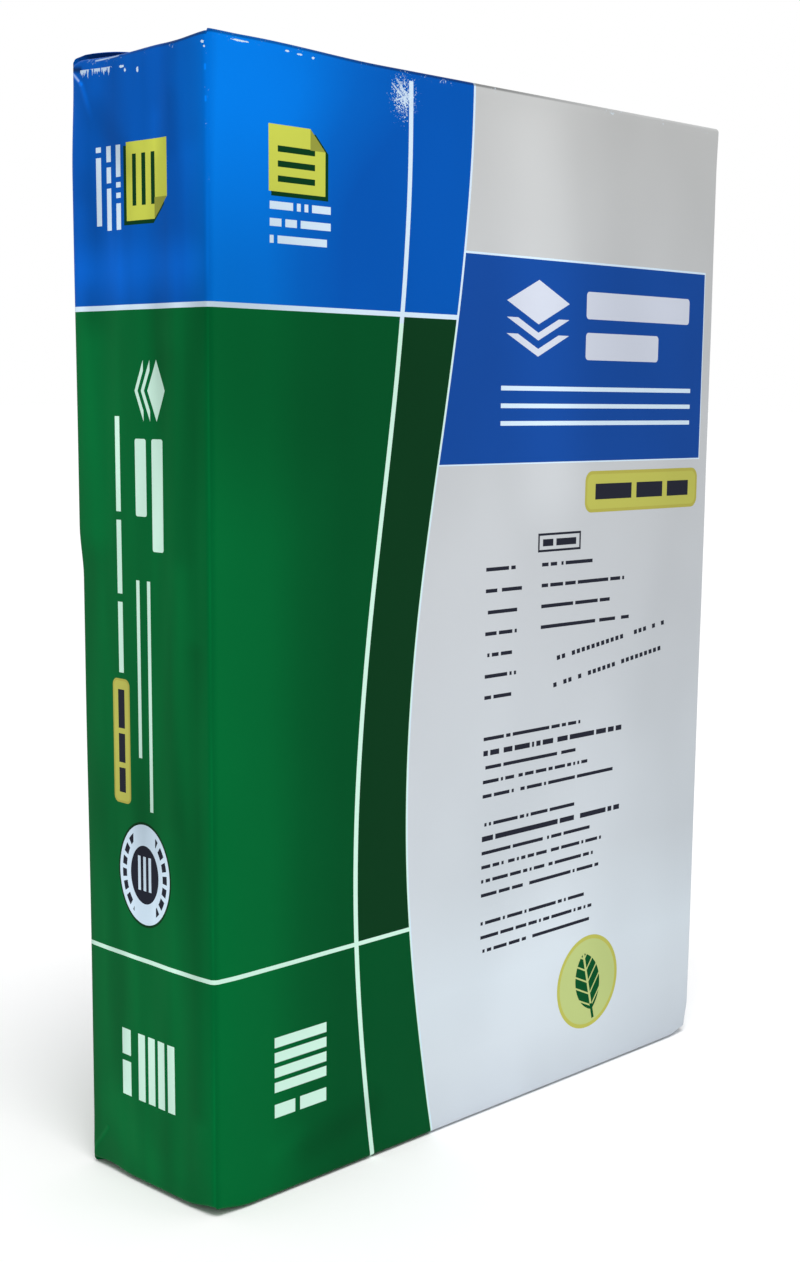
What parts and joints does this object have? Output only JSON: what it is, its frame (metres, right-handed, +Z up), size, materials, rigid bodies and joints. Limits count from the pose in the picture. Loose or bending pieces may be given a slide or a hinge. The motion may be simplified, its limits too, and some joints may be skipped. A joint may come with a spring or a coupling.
{
  "type": "ream of paper",
  "caption": "Sealed ream of A4 copier paper in a printed wrapper with folded ends and a lap seam, standing on a short end.",
  "frame": {"origin": "middle of the base, on the surface that the pack stands on", "axes": "+Z up along the long side of the sheets, the front faces -Y, the spine that the picture shows faces -X"},
  "size_m": [0.212, 0.055, 0.3015],
  "materials": {
    "printed_wrapper": "glossy laminated paper, printed in fields of blue, green and pale grey"
  },
  "bodies": {
    "root": {"wrapped_ream": "printed_wrapper"}
  },
  "joints": []
}
